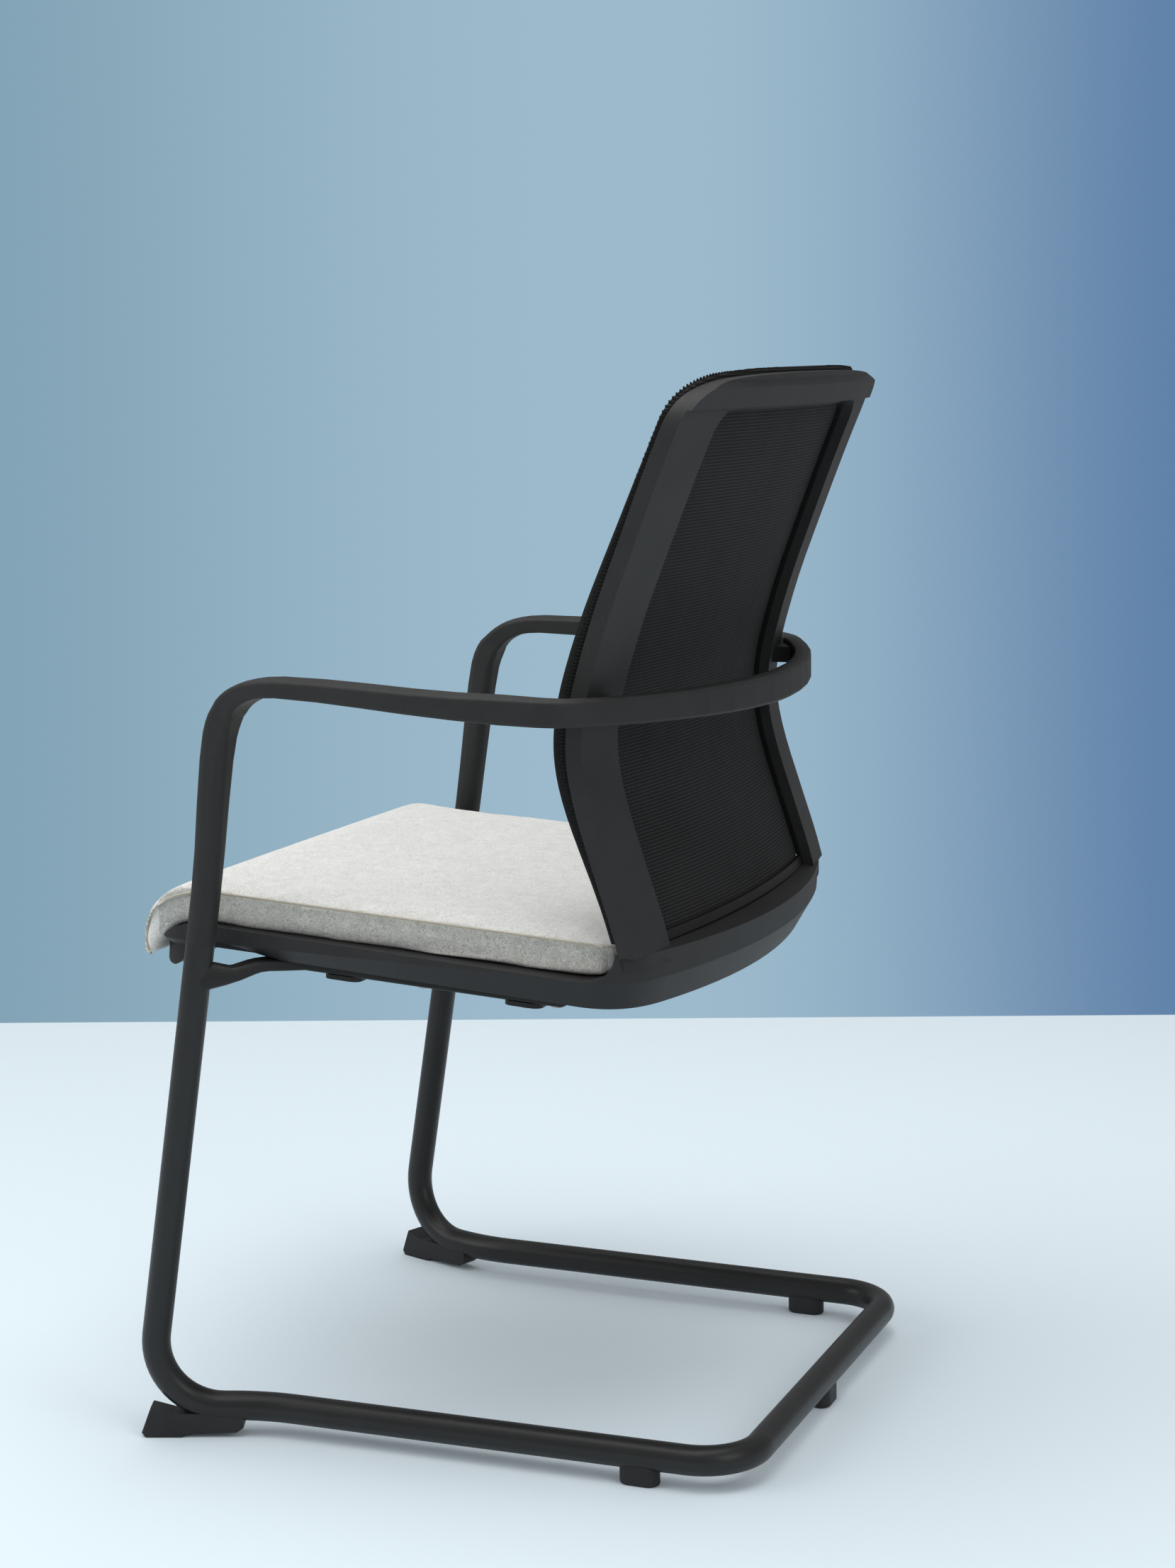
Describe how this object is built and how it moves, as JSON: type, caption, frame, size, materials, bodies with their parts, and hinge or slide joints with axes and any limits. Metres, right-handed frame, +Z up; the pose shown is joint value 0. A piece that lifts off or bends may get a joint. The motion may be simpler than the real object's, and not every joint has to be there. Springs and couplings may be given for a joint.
{
  "type": "cantilever chair",
  "caption": "Cantilever visitor chair: bent-tube sled base, continuous arm loop, open back frame faced with a black knit, and a pale felt cushion in a moulded seat shell",
  "frame": {"origin": "on the floor, under the middle of the chair's bounding box", "axes": "+Z up; the front of the seat faces -Y; +X is the sitter's left; x = 0 is the plane of symmetry"},
  "size_m": [0.6246, 0.5649, 0.925],
  "materials": {
    "base_coat": "black powder coat, satin",
    "carrier_coat": "black coating, satin",
    "frame_moulding": "black moulding with a fine matte grain",
    "glide_plastic": "dark grey hard plastic",
    "block_plastic": "black plastic",
    "ring_plastic": "black plastic, smooth",
    "fastener_steel": "zinc-plated steel",
    "spigot_steel": "plain steel",
    "knit": "black spacer knit with a fine light dot",
    "felt_top": "pale grey mixed wool felt",
    "felt_side": "pale grey mixed wool felt, mottled",
    "welt": "beige seam",
    "foam": "cut foam",
    "board": "plywood, raw"
  },
  "bodies": {
    "root": {"base_tube": "base_coat", "front_glides": "glide_plastic", "rear_pads": "glide_plastic", "centre_pad": "glide_plastic", "glide_rivets": "fastener_steel", "arm_loop": "frame_moulding", "post_spigots": "spigot_steel", "spigot_pins": "fastener_steel", "shell_frame": "frame_moulding", "loop_blocks": "block_plastic", "loop_screws": "fastener_steel", "knit_carrier": "ring_plastic", "knit_strip": "ring_plastic", "back_knit": "knit", "carrier_left": "carrier_coat", "carrier_right": "carrier_coat", "carrier_bars": "carrier_coat", "bar_bolts": "fastener_steel", "shell_screws": "fastener_steel", "seat_cover": "felt_top", "seat_border": "felt_side", "seat_foam": "foam", "seat_welt": "welt", "seat_board": "board", "board_nuts": "fastener_steel", "board_screws": "fastener_steel"}
  },
  "joints": []
}
